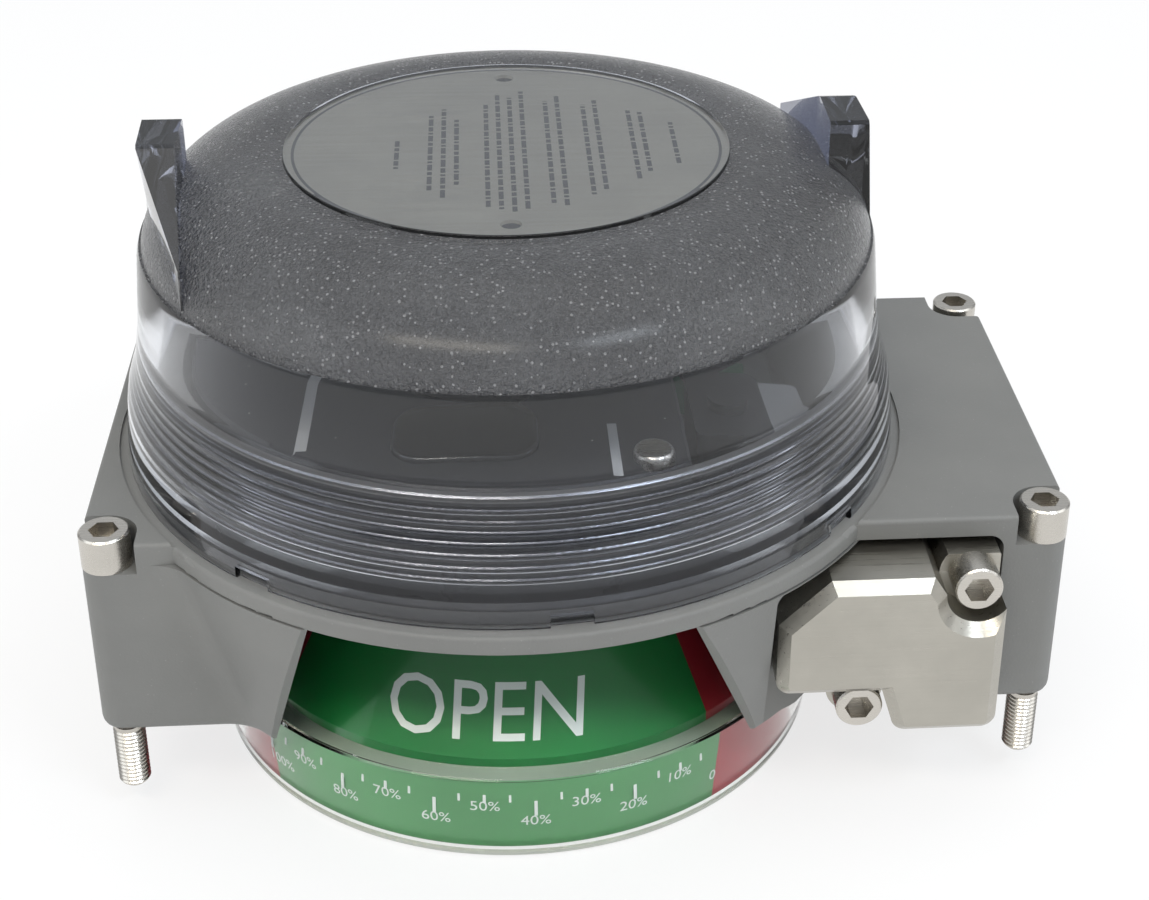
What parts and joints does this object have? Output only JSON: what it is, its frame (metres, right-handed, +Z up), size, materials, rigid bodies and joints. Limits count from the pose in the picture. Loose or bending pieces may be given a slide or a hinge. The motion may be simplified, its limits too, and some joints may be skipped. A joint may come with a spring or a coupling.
{
  "type": "valve limit switch box",
  "caption": "Valve position monitor with a clear screw-on cover, a turning green and red indicator drum under the housing and a side pneumatic valve block",
  "frame": {"origin": "on the shaft axis, in the plane of the leg pads", "axes": "+Z up along the shaft, +X along the housing's long side towards the conduit entries, -Y is the front with the valve block"},
  "size_m": [0.1644, 0.139, 0.112],
  "materials": {
    "grey_paint": "grey satin powder coat",
    "clear_cover": "clear polycarbonate, frosted crown",
    "plate_metal": "brushed",
    "black_rubber": "matte",
    "stainless": "machined",
    "bronze": "plain bearing",
    "spring_steel": "phosphated",
    "black_plastic": "moulded",
    "magnet_nickel": "nickel plated",
    "drum_plastic": "printed",
    "clear_lens": "clear polycarbonate",
    "coupler_plastic": "glass-filled nylon",
    "module_plastic": "moulded",
    "plate_plastic": "moulded",
    "board_green": "solder mask",
    "tinted_window": "tinted",
    "lamp_plastic": "diffused",
    "button_plastic": "moulded",
    "grey_plastic": "moulded",
    "terminal_plastic": "moulded",
    "brass_screws": "slotted",
    "green_zinc": "green marking",
    "nickel_plated": "satin nickel plating",
    "spool_aluminium": "hard anodised"
  },
  "bodies": {
    "base": {"housing": "grey_paint", "upper_bushing": "bronze", "lower_bushing": "bronze", "module_body": "module_plastic", "module_plate": "plate_plastic", "module_screws": "stainless", "circuit_board": "board_green", "status_window": "tinted_window", "status_lamps": "lamp_plastic", "pilot_solenoid": "black_plastic", "pilot_connector": "grey_plastic", "terminal_strip": "terminal_plastic", "terminal_screws": "brass_screws", "ground_screw": "green_zinc", "valve_block": "nickel_plated", "valve_block_gasket": "black_rubber", "valve_block_screws": "stainless", "spool_plug": "stainless", "mounting_screws": "stainless", "conduit_plug": "black_plastic"},
    "cover_carrier": {"cover_o_ring": "black_rubber"},
    "cover": {"cover": "clear_cover", "nameplate_disc": "plate_metal"},
    "rotor": {"shaft": "stainless", "retaining_clip": "spring_steel", "shaft_seal": "black_rubber", "magnet_carrier": "black_plastic", "carrier_magnets": "magnet_nickel", "indicator_drum": "drum_plastic", "indicator_lens": "clear_lens", "drive_coupler": "coupler_plastic", "coupler_screw": "stainless"},
    "open_button": {"set_open_button": "button_plastic"},
    "closed_button": {"set_closed_button": "button_plastic"},
    "spool": {"valve_spool": "spool_aluminium"}
  },
  "joints": [
    {"name": "cover_lift", "type": "slide", "parent": "base", "child": "cover_carrier", "axis": [0, 0, 1], "range_m": [0, 0.016]},
    {"name": "cover_turn", "type": "hinge", "parent": "cover_carrier", "child": "cover", "pos_m": [0, 0, 0.0377], "axis": [0, 0, 1], "range_deg": [0, 2880]},
    {"name": "shaft_turn", "type": "hinge", "parent": "base", "child": "rotor", "pos_m": [0, 0, 0], "axis": [0, 0, 1], "continuous": true},
    {"name": "open_button_press", "type": "slide", "parent": "base", "child": "open_button", "axis": [0, 0, -1], "range_m": [0, 0.0012], "stiffness_N_per_m": 300, "springref_m": -0.001},
    {"name": "closed_button_press", "type": "slide", "parent": "base", "child": "closed_button", "axis": [0, 0, -1], "range_m": [0, 0.0012], "stiffness_N_per_m": 300, "springref_m": -0.001},
    {"name": "spool_shift", "type": "slide", "parent": "base", "child": "spool", "axis": [1, 0, 0], "range_m": [0, 0.003], "stiffness_N_per_m": 400, "springref_m": -0.001}
  ],
  "couplings": [
    {"joint": "cover_lift", "follows": "cover_turn", "m_per_rad": 0.00031831}
  ]
}
